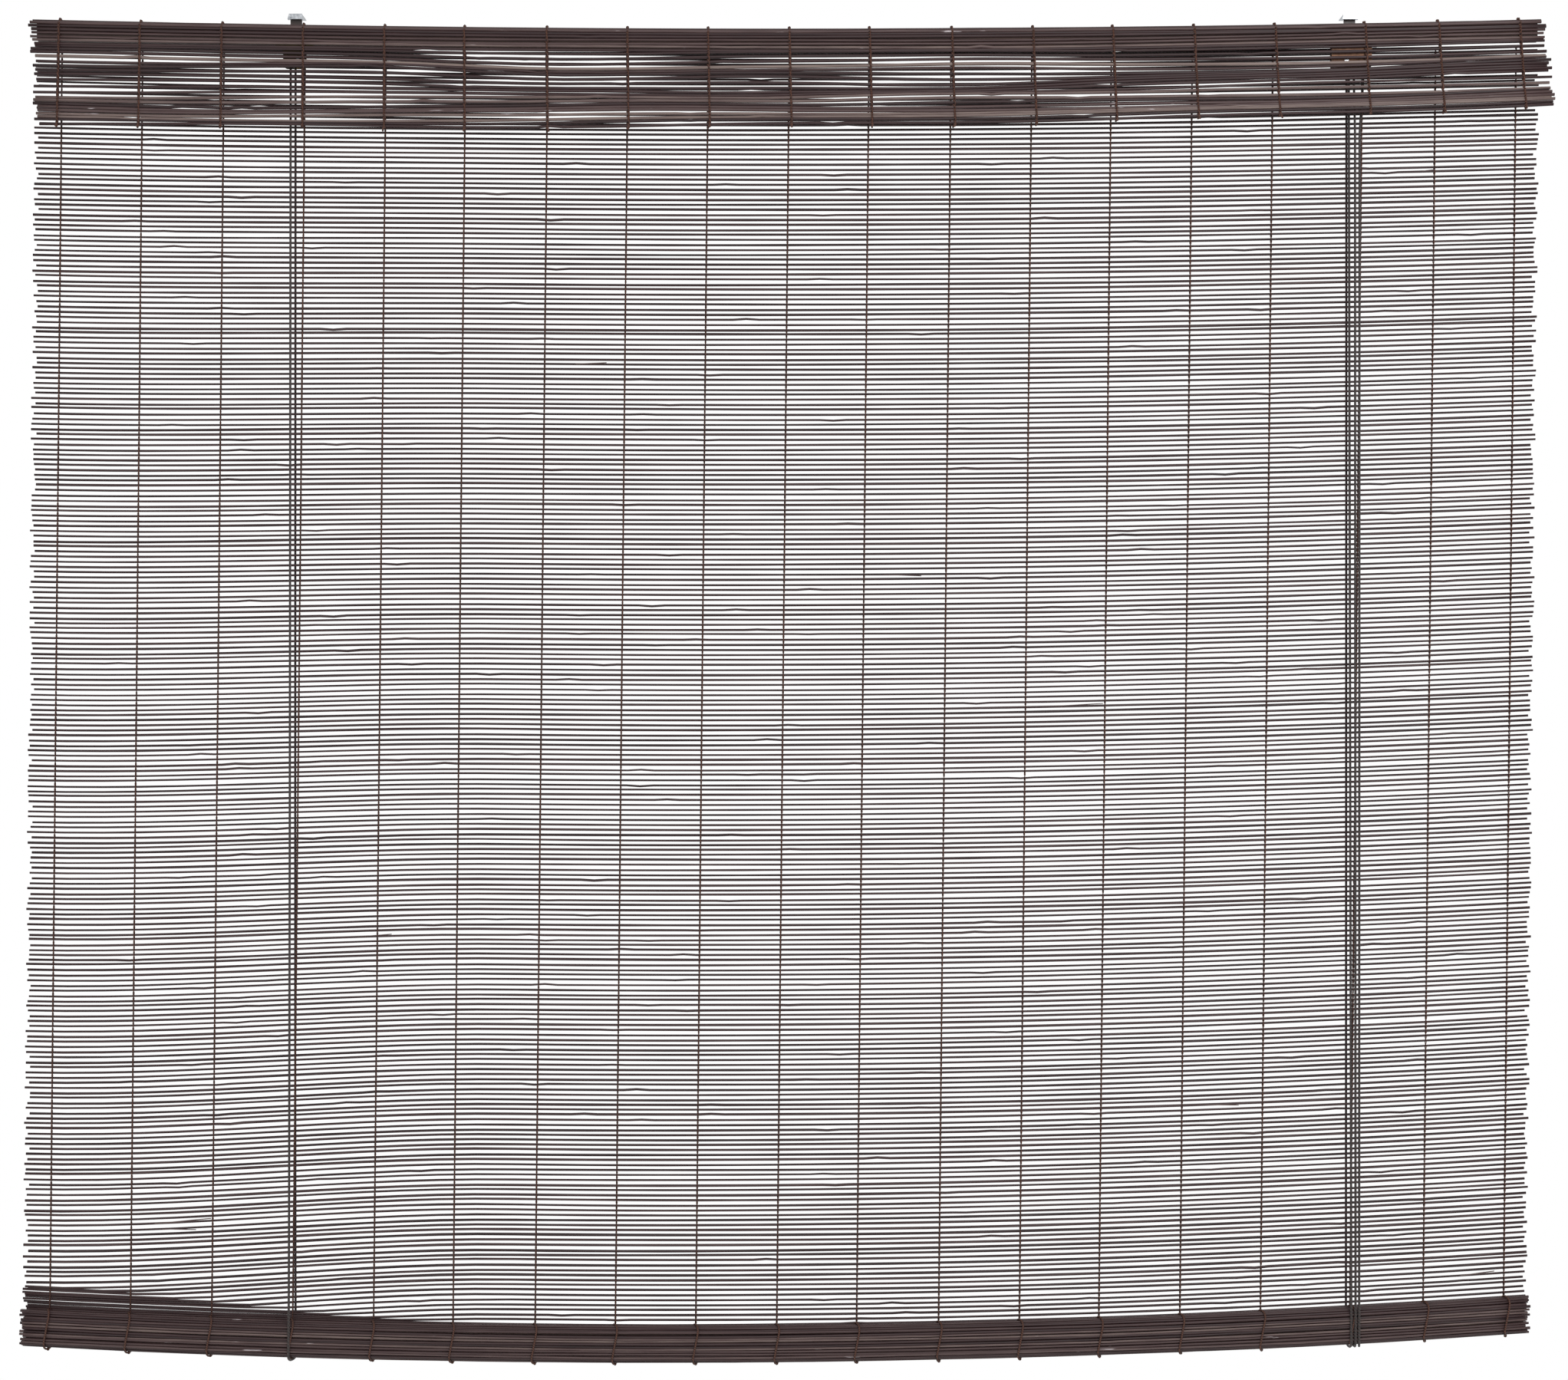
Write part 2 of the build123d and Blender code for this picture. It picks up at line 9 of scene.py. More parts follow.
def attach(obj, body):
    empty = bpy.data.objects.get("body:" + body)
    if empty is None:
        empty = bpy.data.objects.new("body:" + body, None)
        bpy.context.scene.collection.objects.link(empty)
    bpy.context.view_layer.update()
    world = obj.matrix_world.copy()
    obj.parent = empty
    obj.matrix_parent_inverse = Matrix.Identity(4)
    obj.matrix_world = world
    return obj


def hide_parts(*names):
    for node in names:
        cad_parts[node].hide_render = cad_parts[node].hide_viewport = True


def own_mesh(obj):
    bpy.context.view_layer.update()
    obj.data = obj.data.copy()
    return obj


# A bamboo roll up blind: a mat of thin lacquered sticks woven on twisted threads, folded over a
# batten at the top and wound round a lath at the foot. Metres, the front facing -Y.
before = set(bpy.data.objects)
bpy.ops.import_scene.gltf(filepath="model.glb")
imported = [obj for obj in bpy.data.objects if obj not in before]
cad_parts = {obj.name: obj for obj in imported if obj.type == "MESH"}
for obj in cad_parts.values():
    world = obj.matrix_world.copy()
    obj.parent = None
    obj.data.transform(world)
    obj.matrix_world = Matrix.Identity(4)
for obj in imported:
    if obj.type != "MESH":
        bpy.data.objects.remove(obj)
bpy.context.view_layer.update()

# Camera: level with the middle of the blind and a little to its left, with a long lens.
camera_distance = 3.5
camera_x, camera_z = -0.0466, -0.810
seen_width = 1.8825
sensor_width = 0.036
mat_y = -0.014
camera_data = bpy.data.cameras.new("camera")
camera_data.sensor_width = sensor_width * 1000
camera_data.lens = camera_data.sensor_width * camera_distance / seen_width
camera = bpy.data.objects.new("camera", camera_data)
bpy.context.collection.objects.link(camera)
camera.location = (camera_x, mat_y - camera_distance, camera_z)
camera.rotation_euler = (math.radians(90), 0, 0)
bpy.context.scene.camera = camera


# Cords: 2.5 mm braided polyester, drawn 2.8 mm thick so that they show from this far. Each lift
# cord goes from a knot above its screw eye, under the hem and up to the pulleys; its other half is
# the pull cord, tucked back under the hem.
def linear(hex_colour):
    """An sRGB hex colour as linear values with alpha."""
    values = [int(hex_colour[i : i + 2], 16) / 255 for i in (1, 3, 5)]
    return [v / 12.92 if v <= 0.04045 else ((v + 0.055) / 1.055) ** 2.4 for v in values] + [1.0]


def node(tree, kind, links=(), **settings):
    """Adds a node, sets its properties and inputs, and links (input, source node, output)."""
    made = tree.nodes.new(kind)
    for key, value in settings.items():
        if hasattr(made, key):
            setattr(made, key, value)
        else:
            made.inputs[key.replace("_", " ")].default_value = value
    for socket, source, output in links:
        tree.links.new(source.outputs[output], made.inputs[socket])
    return made


def new_material(name):
    """A material whose tree holds only a Principled shader and the object's own coordinates."""
    material = bpy.data.materials.new(name)
    material.use_nodes = True
    tree = material.node_tree
    return material, tree, tree.nodes["Principled BSDF"], node(tree, "ShaderNodeTexCoord")


def ramp(tree, source, stops):
    """A colour ramp from a factor, given as (position, hex colour) stops."""
    made = node(tree, "ShaderNodeValToRGB", [("Fac", source, 0)])
    made.color_ramp.elements[0].position = stops[0][0]
    made.color_ramp.elements[1].position = stops[-1][0]
    for position, _ in stops[1:-1]:
        made.color_ramp.elements.new(position)
    for element, (_, colour) in zip(made.color_ramp.elements, stops):
        element.color = linear(colour)
    return made


# Braided polyester: a dull, nearly black brown yarn with a 2 mm pitch. Bands lean across the cord,
# so that it glints in beads. A wave of scale wave_scale / pitch repeats every 1.2 pitches square
# across its bands and every two along the cord.
braided_cord, tree, shader, coords = new_material("braided_polyester")
braid_pitch = 0.0020
wave_scale = 0.31
braid = node(
    tree,
    "ShaderNodeTexWave",
    [("Vector", coords, "Object")],
    bands_direction="DIAGONAL",
    Scale=wave_scale / braid_pitch,
    Distortion=1.2,
    Detail=1.0,
)
yarn = ramp(tree, braid, [(0.0, "#080505"), (0.5, "#170e0d"), (1.0, "#30201c")])
tree.links.new(yarn.outputs[0], shader.inputs["Base Color"])
braid_bump = node(tree, "ShaderNodeBump", [("Height", braid, "Fac")], Strength=0.7, Distance=0.0004)
tree.links.new(braid_bump.outputs[0], shader.inputs["Normal"])
shader.inputs["Roughness"].default_value = 0.62
shader.inputs["Sheen Weight"].default_value = 0.15

drawn_d = 0.0028

# Each cord's route from its start. A point cord_rest away from a sharp turn keeps the line straight
# up to it.
cord_rest = 0.018
left_low, right_low, front_low, back_low = -1.6119, -1.5960, -1.5956, -1.5953
cord_points = {
    "left_lift_cord": [
        (-0.6343, -0.0060, -0.0342),
        (-0.6346, -0.0104, left_low + cord_rest),
        (-0.6318, -0.0104, left_low),
        (-0.6393, -0.0338, left_low),
        (-0.6374, -0.0337, left_low + cord_rest),
        (-0.6368, -0.0261, -0.0480 - cord_rest),
        (-0.6368, -0.0260, -0.0480),
        (-0.6368 + cord_rest, -0.0260, -0.0480),
        (0.6259, -0.0260, -0.0480),
    ],
    "right_lift_cord": [
        (0.6302, -0.0060, -0.0328),
        (0.6287, -0.0104, right_low + cord_rest),
        (0.6287, -0.0104, right_low),
        (0.6307, -0.0338, right_low),
        (0.6307, -0.0337, right_low + cord_rest),
        (0.6302, -0.0203, -0.0480 - cord_rest),
        (0.6302, -0.0202, -0.0480),
        (0.6392, -0.0202, -0.0480),
    ],
    "front_pull_cord": [
        (0.6259, -0.0260, -0.0480),
        (0.6349, -0.0260, -0.0480),
        (0.6349, -0.0260, -0.0740),
        (0.6351, -0.0338, -0.1420),
        (0.6351, -0.0338, -0.1600),
        (0.6357, -0.0338, front_low + cord_rest),
        (0.6357, -0.0338, front_low),
        (0.6367, -0.0104, front_low),
        (0.6367, -0.0102, front_low + cord_rest),
        (0.6367, -0.0088, -1.5607),
    ],
    "back_pull_cord": [
        (0.6392, -0.0202, -0.0480),
        (0.6482, -0.0202, -0.0480),
        (0.6482, -0.0202, -0.0740),
        (0.6405, -0.0338, -0.1420),
        (0.6404, -0.0338, -0.1600),
        (0.6400, -0.0338, back_low + cord_rest),
        (0.6400, -0.0338, back_low),
        (0.6442, -0.0104, back_low),
        (0.6442, -0.0102, back_low + cord_rest),
        (0.6442, -0.0088, -1.5533),
    ],
}


def spline_cord(name, points):
    """A smooth round cord on a NURBS line through its route's points, with that line's points."""
    curve = bpy.data.curves.new(name, "CURVE")
    curve.dimensions = "3D"
    spline = curve.splines.new("NURBS")
    spline.points.add(len(points) - 1)
    for point, place in zip(spline.points, points):
        point.co = (*place, 1.0)
    spline.order_u = 3
    spline.use_endpoint_u = True
    spline.resolution_u = 16
    piece = bpy.data.objects.new(name, curve)
    bpy.context.collection.objects.link(piece)
    line = bpy.data.meshes.new_from_object(piece)
    path = [vertex.co[:] for vertex in line.vertices]
    curve.bevel_depth = drawn_d / 2
    curve.bevel_resolution = 3
    curve.use_fill_caps = True
    return piece, path


def as_mesh(piece, name):
    """The piece's shape as a mesh object of that name, in place of the piece."""
    mesh = bpy.data.meshes.new_from_object(piece)
    bpy.data.objects.remove(piece)
    mesh.name = name
    made = bpy.data.objects.new(name, mesh)
    bpy.context.collection.objects.link(made)
    return made


for name, points in cord_points.items():
    cord, path = spline_cord(name + "_shown", points)
    lift = name.endswith("lift_cord")
    if lift:
        cord = as_mesh(cord, name + "_shown")
        knot = name.replace("lift_cord", "anchor_knot")
    else:
        knot = name.replace("cord", "knot")
    cord.data.materials.clear()
    cord.data.materials.append(braided_cord)
    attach(cord, "head")
    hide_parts(name)
    if lift:
        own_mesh(cord)
    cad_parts[knot].data.materials[0] = braided_cord

# Surroundings: a white studio, a small pale floor below the blind, and soft light from in front.
world = bpy.data.worlds.new("studio")
bpy.context.scene.world = world
world.use_nodes = True
world.node_tree.nodes["Background"].inputs["Color"].default_value = (1, 1, 1, 1)
world.node_tree.nodes["Background"].inputs["Strength"].default_value = 1.0
bpy.context.scene.view_settings.view_transform = "Standard"

floor_half, floor_z = 1.4, -2.0
floor_mesh = bpy.data.meshes.new("floor")
flat = bmesh.new()
floor_place = Matrix.Translation((0, 0, floor_z))
bmesh.ops.create_grid(flat, x_segments=1, y_segments=1, size=floor_half, matrix=floor_place)
flat.to_mesh(floor_mesh)
flat.free()
floor = bpy.data.objects.new("floor", floor_mesh)
bpy.context.collection.objects.link(floor)
floor_paint, tree, shader, coords = new_material("floor_paint")
shader.inputs["Base Color"].default_value = linear("#efefed")
shader.inputs["Roughness"].default_value = 0.9
floor.data.materials.append(floor_paint)


def soft_light(name, place, turn, size, watts):
    """A square area light; its turn is in degrees and its size in metres."""
    light = bpy.data.lights.new(name, "AREA")
    light.size, light.energy = size, watts
    lamp = bpy.data.objects.new(name, light)
    bpy.context.collection.objects.link(lamp)
    lamp.location, lamp.rotation_euler = place, [math.radians(a) for a in turn]


soft_light("key_light", place=(1.5, -3.2, 1.2), turn=(58, 0, 24), size=1.8, watts=80)
soft_light("fill_light", place=(-2.0, -3.0, -0.5), turn=(85, 0, -34), size=1.6, watts=12)

# Mat sheet: 255 split bamboo sticks about 2.2 mm thick, dyed and lacquered dark brown, which the
# twisted threads hold 6 mm apart. It hangs from the batten, bows a little and leans to the left.
# The sticks are drawn 3 mm thick, so that they show from this far.
mat_offset, half_mat = -0.0428, 0.900
head_sag, hem_sag, hem_tilt, hem_lean = 0.011, 0.027, 0.016, -0.015
sheet_top, sheet_foot, sheet_count = -0.04745, -1.5722, 255
stick_r = 0.00150
stick_rings, stick_sides = 40, 6
bunch_pitch, bunch_gain = 0.0026, 0.027
bunch_from, bunch_to = -0.38, -1.00

# How the sticks differ: their cut ends, their thickness and its swellings, how far they sit off,
# lean and bend, and the joints, where they kink. Bends and swellings are counted by the metre.
end_cut = 0.0035
thinnest, thickest = 0.88, 1.14
swelling, swellings = 0.16, 14
off_share, lean_share, bend_share, bends = 0.35, 0.45, 1.1, 2.2
joint_half, joint_reach = 0.016, 0.85
joint_counts = (0, 1, 1, 2, 3)
kink_least, kink_most = 0.4, 1.3
draw = random.Random(7)


def bow(x, sag, tilt, shift):
    """How far the bow lifts a row at x: the sag at both ends, and half the tilt at the right."""
    across = (x - mat_offset - shift) / half_mat
    return sag * across * across + tilt * across / 2


def blank_stick():
    """One straight stick of unit length and radius along X, cut into rings."""
    made = bmesh.new()
    turn = Matrix.Rotation(math.radians(90), 4, "Y")
    bmesh.ops.create_cone(
        made, cap_ends=True, segments=stick_sides, radius1=1, radius2=1, depth=1, matrix=turn
    )
    for number in range(1, stick_rings):
        bmesh.ops.bisect_plane(
            made,
            geom=made.verts[:] + made.edges[:] + made.faces[:],
            plane_co=(number / stick_rings - 0.5, 0, 0),
            plane_no=(1, 0, 0),
        )
    mesh = bpy.data.meshes.new("blank_stick")
    made.to_mesh(mesh)
    made.free()
    return mesh


blank = blank_stick()


class Stick:
    """One stick's own habits: where it is cut, how thick it grew, and how it bends and kinks."""

    def __init__(self, middle, length, radius, wander, tones=(0.0, 1.0)):
        self.ends = (
            middle - length / 2 + draw.uniform(-end_cut, end_cut),
            middle + length / 2 + draw.uniform(-end_cut, end_cut),
        )
        self.radius = radius * draw.uniform(thinnest, thickest)
        self.tone = draw.uniform(*tones)
        self.seed = draw.uniform(0, 900)
        self.off = draw.gauss(0, off_share) * wander
        self.lean = draw.gauss(0, lean_share) * wander
        self.wander = wander
        self.joints = [
            (
                draw.uniform(-joint_reach, joint_reach),
                draw.choice((-1, 1)) * draw.uniform(kink_least, kink_most) * wander,
            )
            for _ in range(draw.choice(joint_counts))
        ]

    def drift(self, x):
        """How far the stick strays up or down at x."""
        away = self.off + self.lean * (x - mat_offset)
        away += bend_share * self.wander * noise.noise((x * bends, self.seed, 0.0))
        for place, rise in self.joints:
            near = abs(x - place) / joint_half
            if near < 1:
                away += rise * (1 - near) ** 2
        return away

    def rings(self):
        """The x of each ring, with rings drawn in to the joints."""
        low, high = self.ends
        places = [low + (high - low) * n / stick_rings for n in range(stick_rings + 1)]
        for place, _ in self.joints:
            middle = round((place - low) / (high - low) * stick_rings)
            if 1 < middle < stick_rings - 1:
                for step in (-1, 0, 1):
                    places[middle + step] = place + step * joint_half
        return places


def add_sticks(name, sticks, place):
    """A mesh object of sticks, each following place(number, x) and its own drift."""
    made = bmesh.new()
    tone = made.verts.layers.float.new("tone")
    for number, stick in enumerate(sticks):
        first = len(made.verts)
        made.from_mesh(blank)
        made.verts.ensure_lookup_table()
        rings = stick.rings()
        for vertex in made.verts[first:]:
            ring = round((vertex.co.x + 0.5) * stick_rings)
            x = rings[ring]
            y, z = place(number, x)
            thick = stick.radius * (1 + swelling * noise.noise((x * swellings, stick.seed, 5.0)))
            vertex.co = (x, y + vertex.co.y * thick, z + stick.drift(x) + vertex.co.z * thick)
            vertex[tone] = stick.tone
    for face in made.faces:
        face.smooth = len(face.verts) == 4
    bmesh.ops.recalc_face_normals(made, faces=made.faces[:])
    mesh = bpy.data.meshes.new(name)
    made.to_mesh(mesh)
    made.free()
    piece = bpy.data.objects.new(name, mesh)
    bpy.context.collection.objects.link(piece)
    piece.data.materials.append(bamboo)
    return piece


# Dyed bamboo under satin lacquer: fibres run along the stick, drawn 0.5 mm wide, which is coarser
# than real so that they show. Some sticks took the dye better than others. A noise of scale 1 has
# streaks about fibre_share of a metre wide, and spots about spot_share of one.
bamboo, tree, shader, coords = new_material("lacquered_bamboo")
fibre_share, spot_share = 0.35, 0.5
fibre_width = 0.0005
along_fibre, across_fibre = 18, fibre_share / fibre_width
fibre_map = node(tree, "ShaderNodeMapping", [("Vector", coords, "Object")])
fibre_map.inputs["Scale"].default_value = (along_fibre, across_fibre, across_fibre)
fibre = node(tree, "ShaderNodeTexNoise", [("Vector", fibre_map, 0)], Scale=1.0, Detail=3.0, Roughness=0.6)
own_tone = node(tree, "ShaderNodeAttribute", attribute_name="tone")
tone_and_fibre = node(tree, "ShaderNodeMath", [(0, own_tone, "Fac"), (1, fibre, "Fac")], operation="ADD")
shade = node(tree, "ShaderNodeMath", [(0, tone_and_fibre, 0)], operation="MULTIPLY")
shade.inputs[1].default_value = 0.5
dye = ramp(tree, shade, [(0.15, "#17090b"), (0.36, "#2d1b1c"), (0.60, "#493938"), (0.85, "#776963")])

# Painted highlights: here and there pale flecks about 20 mm long are painted along the lighter sticks, in
# place of glints of light on them.
highlight_length, highlight_width = 0.020, 0.0016
highlight_from, highlight_to, lighter_tone = 0.71, 0.75, 0.40
across_highlight = spot_share / highlight_width
highlight_map = node(tree, "ShaderNodeMapping", [("Vector", coords, "Object")])
highlight_map.inputs["Scale"].default_value = (spot_share / highlight_length, across_highlight, across_highlight)
highlight_noise = node(tree, "ShaderNodeTexNoise", [("Vector", highlight_map, 0)], Scale=1.0, Detail=3.0)
highlight_spots = node(tree, "ShaderNodeMapRange", [("Value", highlight_noise, "Fac")])
highlight_spots.inputs["From Min"].default_value = highlight_from
highlight_spots.inputs["From Max"].default_value = highlight_to
lighter = node(tree, "ShaderNodeMath", [(0, own_tone, "Fac")], operation="GREATER_THAN")
lighter.inputs[1].default_value = lighter_tone
highlight_mask = node(tree, "ShaderNodeMath", [(0, highlight_spots, 0), (1, lighter, 0)], operation="MULTIPLY")
surface = node(tree, "ShaderNodeMix", [(0, highlight_mask, 0), (6, dye, 0)], data_type="RGBA")
# The pale grey mixed in here is the painted highlight's colour.
surface.inputs[7].default_value = linear("#aaa2a4")
tree.links.new(surface.outputs[2], shader.inputs["Base Color"])
fibre_bump = node(tree, "ShaderNodeBump", [("Height", fibre, "Fac")], Strength=0.35, Distance=0.0002)
tree.links.new(fibre_bump.outputs[0], shader.inputs["Normal"])
shader.inputs["Roughness"].default_value = 0.50
shader.inputs["Specular IOR Level"].default_value = 0.35


def eased(share):
    """A share from 0 to 1 that starts and ends gently."""
    return share * share * (3 - 2 * share)


def sheet_place(number, x):
    """The depth and height of the sheet's row at x; near the left end the last rows bunch up."""
    down = number / (sheet_count - 1)
    shift = hem_lean * down
    share = min(1.0, max(0.0, (x - bunch_from) / (bunch_to - bunch_from)))
    sunk = down * (1 + bunch_gain * eased(share))
    z = sheet_top + (sheet_foot - sheet_top) * sunk
    sag = head_sag + (hem_sag - head_sag) * down
    z += bow(x, sag, hem_tilt * down, shift)
    pile = (sheet_count - 1 - number) * bunch_pitch
    return mat_y, max(z, sheet_foot + bow(x, hem_sag, hem_tilt, hem_lean) + pile)


# The sheet's sticks keep to the darker tones. This is random tone plus painted shade, which makes the
# sheet darker than the valance and hem of the same mat, as if backlit.
sheet_wander, sheet_tones_and_painted_shade = 0.0008, (0.0, 0.35)
sheet_sticks = [
    Stick(mat_offset + hem_lean * n / (sheet_count - 1), 2 * half_mat, stick_r, sheet_wander, sheet_tones_and_painted_shade)
    for n in range(sheet_count)
]

# Where a stick has split: its row, where the sliver starts and ends, and how far its end stands off.
sliver_r, sliver_tones = 0.0006, (0.5, 0.9)
sliver_out = 0.7 * stick_r
slivers = [
    (25, 0.716, 0.738, 0.0022),
    (62, -0.300, -0.262, 0.0018),
    (104, 0.070, 0.118, -0.0020),
    (131, 0.262, 0.338, 0.0026),
    (176, -0.560, -0.520, 0.0020),
    (212, 0.455, 0.500, -0.0021),
    (231, -0.800, -0.735, 0.0030),
    (232, -0.790, -0.752, -0.0024),
    (249, 0.764, 0.806, 0.0030),
]


def split_place(number, x):
    """The place of a whole row, or of a sliver that leaves its row slowly."""
    if number < sheet_count:
        return sheet_place(number, x)
    row, start, end, off = slivers[number - sheet_count]
    y, z = sheet_place(row, x)
    return y - sliver_out, z + sheet_sticks[row].drift(x) + off * (x - start) / (end - start)


sliver_sticks = [
    Stick((start + end) / 2, end - start, sliver_r, 0.0, sliver_tones)
    for _, start, end, _ in slivers
]
sheet = add_sticks("sheet_sticks_shown", sheet_sticks + sliver_sticks, split_place)
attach(sheet, "head")
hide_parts("sheet_sticks")
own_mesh(sheet)

# Valance: the end of the same mat, carried over the batten and left hanging in front of it. Its
# bamboo sticks lie closer, gather in clumps and are drawn 3.6 mm thick. The rows that go down the
# batten's back and over its top are a piece of their own, which the staples hold.
over_batten = 0.0021
batten_top, first_drop, head_pitch = -0.0222, 0.001, 0.00485
batten_height = 0.022
valance_y, valance_rows, valance_width, valance_drop = -0.0315, 27, 1.808, 0.1116
valance_tilt, valance_lean, valance_flare = 0.023, 0.010, 0.008
front_stick_r = 0.00182
valance_wander, wrap_wander = 0.0010, 0.0002
back_rows, top_rows = 5, 3

# The clumps' waves: how high they are, how many there are by the metre and by the row, where they
# start, and how soon below the batten they reach their full height.
clump, clumps_along, clumps_down = 0.0050, 2.3, 0.30
clump_start, clump_soon = 3, 2.2


# Where the rows have slid together along the valance: t is a tight gap and w a wide one.
tight_pitch = 0.00362
gathers = [
    (-0.85, "t" * 12 + "w" * 6 + "t" * 8),
    (-0.58, "t" * 12 + "w" * 6 + "t" * 5 + "w" + "t" * 2),
    (-0.30, "t" * 6 + "w" * 5 + "t" * 5 + "w" * 3 + "t" * 7),
    (-0.08, "t" * 7 + "w" * 4 + "t" * 2 + "w" * 5 + "t" * 8),
    (0.14, "t" * 7 + "w" * 7 + "t" * 5 + "w" * 2 + "t" * 5),
    (0.38, "t" * 6 + "w" * 5 + "t" * 5 + "w" * 3 + "t" * 7),
    (0.62, "t" * 6 + "w" * 6 + "t" * 5 + "w" * 2 + "t" * 7),
    (0.86, "t" * 7 + "w" * 3 + "t" * 6 + "w" * 3 + "t" * 7),
]


def drops(gaps):
    """How far each row hangs below the first: the wide gaps share what the tight ones leave."""
    wide = (valance_drop - gaps.count("t") * tight_pitch) / gaps.count("w")
    down = [0.0]
    for gap in gaps:
        down.append(down[-1] + (tight_pitch if gap == "t" else wide))
    return down


gathered = [(x, drops(gaps)) for x, gaps in gathers]


def drop_at(number, x):
    """How far a row hangs below the first at x, between the gathers to its left and right."""
    after = next((n for n, (place, _) in enumerate(gathered) if place > x), len(gathered) - 1)
    (left, near), (right, far) = gathered[max(0, after - 1)], gathered[max(1, after)]
    share = min(1.0, max(0.0, (x - left) / (right - left)))
    share = eased(share)
    return near[number] * (1 - share) + far[number] * share


def valance_place(number, x):
    """The depth and height of a valance row at x, leaning out from the batten towards its foot."""
    down = number / (valance_rows - 1)
    z = batten_top - first_drop - drop_at(number, x)
    last = batten_top - first_drop - valance_drop
    knee = batten_top - batten_height
    y = valance_y - valance_flare * max(0.0, knee - z) / (knee - last)
    wave = noise.noise((x * clumps_along + clump_start, number * clumps_down, 2.0))
    z += clump * min(1, clump_soon * down) * wave
    return y, z + bow(x, head_sag, valance_tilt * down, valance_lean * down)


def wrap_place(number, x):
    """Rows down the batten's back first, then those over its top."""
    rise = bow(x, head_sag, 0, 0)
    if number < back_rows:
        return mat_y, batten_top - first_drop - (back_rows - 1 - number) * head_pitch + rise
    share = (number - back_rows + 1) / (top_rows + 1)
    return mat_y + (valance_y - mat_y) * share, batten_top + over_batten + rise


valance_sticks = [
    Stick(mat_offset + valance_lean * n / (valance_rows - 1), valance_width, front_stick_r, valance_wander)
    for n in range(valance_rows)
]
valance = add_sticks("valance_sticks_shown", valance_sticks, valance_place)
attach(valance, "head")
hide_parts("valance_sticks")
wrap_sticks = [
    Stick(mat_offset, 2 * half_mat, stick_r, wrap_wander)
    for _ in range(back_rows + top_rows)
]
wrap = add_sticks("head_wrap_sticks_shown", wrap_sticks, wrap_place)
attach(wrap, "head")
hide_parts("head_wrap_sticks")

# Hem: the foot of the same bamboo mat, wound twice round a flat lath, whose weight keeps the mat
# taut. Its sticks lie side by side in two rings, and loops of thread hold them.
hem_y, hem_z = -0.0221, -1.5930
lath_straight = 0.0257
ring_radii = (0.0057, 0.0081)
hem_pitch = 0.0031
hem_stick_r = 0.00155
hem_wander, hem_tones = 0.0003, (0.0, 0.85)


def ring_places(radius):
    """The places of the sticks round the lath at one distance from its middle line."""
    arc = math.pi * radius
    around = 2 * (lath_straight + arc)
    count = math.floor(around / hem_pitch)
    places = []
    for number in range(count):
        half, along = divmod(around * (number + 0.5) / count, lath_straight + arc)
        if along < lath_straight:
            y, z = radius, lath_straight / 2 - along
        else:
            turn = (along - lath_straight) / radius
            y, z = radius * math.cos(turn), -lath_straight / 2 - radius * math.sin(turn)
        side = -1 if half else 1
        places.append((hem_y + side * y, hem_z + side * z))
    return places


hem_places = [place for radius in ring_radii for place in ring_places(radius)]
outer_count = len(ring_places(ring_radii[1]))


# The sticks cross one another a little along the hem: all of them up and down, and those of the
# outer ring half as much in and out. Each stick's bends are read from its own place in the noise.
straggle = 0.0016
rise_bends, rise_apart = 2.6, 3.7
out_bends, out_apart = 2.1, 2.9


def hem_place(number, x):
    """The depth and height of one of the hem's sticks at x."""
    y, z = hem_places[number]
    astray = straggle * noise.noise((x * rise_bends, number * rise_apart, 8.0))
    loose = 0.0 if number < len(hem_places) - outer_count else straggle / 2
    y += loose * noise.noise((x * out_bends, number * out_apart, 4.0))
    return y, z + astray + bow(x, hem_sag, hem_tilt, hem_lean)


hem_sticks = [
    Stick(mat_offset + hem_lean, 2 * half_mat, hem_stick_r, hem_wander, hem_tones)
    for _ in hem_places
]
hem = add_sticks("hem_sticks_shown", hem_sticks, hem_place)
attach(hem, "hem")
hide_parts("hem_sticks")

# Warp threads: two-ply brown cotton, on 19 warps. The two threads of each warp pass on either side
# of every stick and change places between sticks. One warp was tied a little to the right.
warp_spacing, warp_count, warp_offset, warp_stray = 0.0969, 19, 0.0024, 0.001
moved_warp, moved_warp_by = 16, 0.0105
sheet_thread_r, front_thread_r = 0.00074, 0.00115
thread_gap = 0.00005
cross_share = 0.75
many_points = 400
front_thread_lean = 0.27 * valance_lean
knot_r, knot_flat, knot_heights = 1.7 * front_thread_r, 0.8, (0.8, 1.2)
tail_stray, tail_out, tail_lengths = 0.002, 0.0005, (0.003, 0.006)
first_warp = mat_offset + warp_offset
warps = [
    first_warp + (n - (warp_count - 1) / 2) * warp_spacing + draw.uniform(-warp_stray, warp_stray)
    for n in range(warp_count)
]
warps[moved_warp] += moved_warp_by

# Twisted cotton, dyed red-brown: dull, with the plies' 1.5 mm twist as a slanted ripple.
cotton, tree, shader, coords = new_material("twisted_cotton")
ply_pitch = 0.0015
ply = node(
    tree,
    "ShaderNodeTexWave",
    [("Vector", coords, "Object")],
    bands_direction="DIAGONAL",
    Scale=wave_scale / ply_pitch,
    Distortion=0.8,
)
strand_colour = ramp(tree, ply, [(0.0, "#1c0d08"), (1.0, "#512e1f")])
tree.links.new(strand_colour.outputs[0], shader.inputs["Base Color"])
ply_bump = node(tree, "ShaderNodeBump", [("Height", ply, "Fac")], Strength=0.5, Distance=0.0002)
tree.links.new(ply_bump.outputs[0], shader.inputs["Normal"])
shader.inputs["Roughness"].default_value = 0.85


